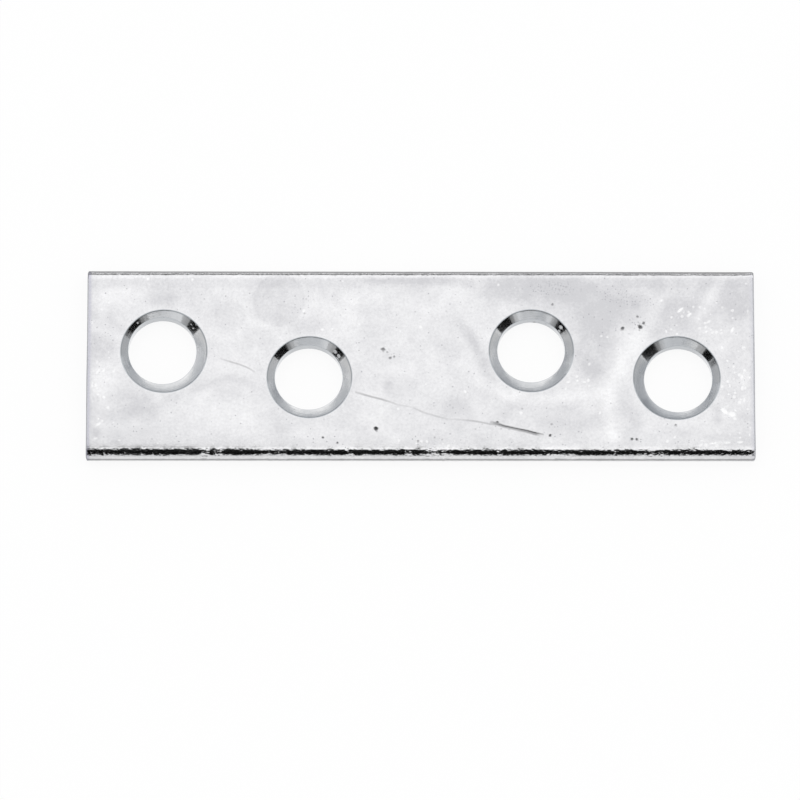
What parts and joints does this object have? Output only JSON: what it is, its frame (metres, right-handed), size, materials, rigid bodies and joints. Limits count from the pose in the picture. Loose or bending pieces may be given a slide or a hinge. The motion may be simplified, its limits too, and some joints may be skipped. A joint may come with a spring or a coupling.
{
  "type": "mending plate",
  "caption": "Flat zinc-plated steel strip with rounded long edges and staggered countersunk screw holes, for joining two timbers or mending a crack.",
  "frame": {"origin": "centre of the underside, midway between the ends and between the long edges", "axes": "+X along the plate's length, +Y across its width, +Z out of the countersunk face"},
  "size_m": [0.06, 0.0176, 0.002],
  "materials": {
    "zinc_plated_steel": "bright blue-white zinc plating on rolled mild steel, cloudy, with fine scratches and small pits"
  },
  "bodies": {
    "root": {"mending_plate": "zinc_plated_steel"}
  },
  "joints": []
}
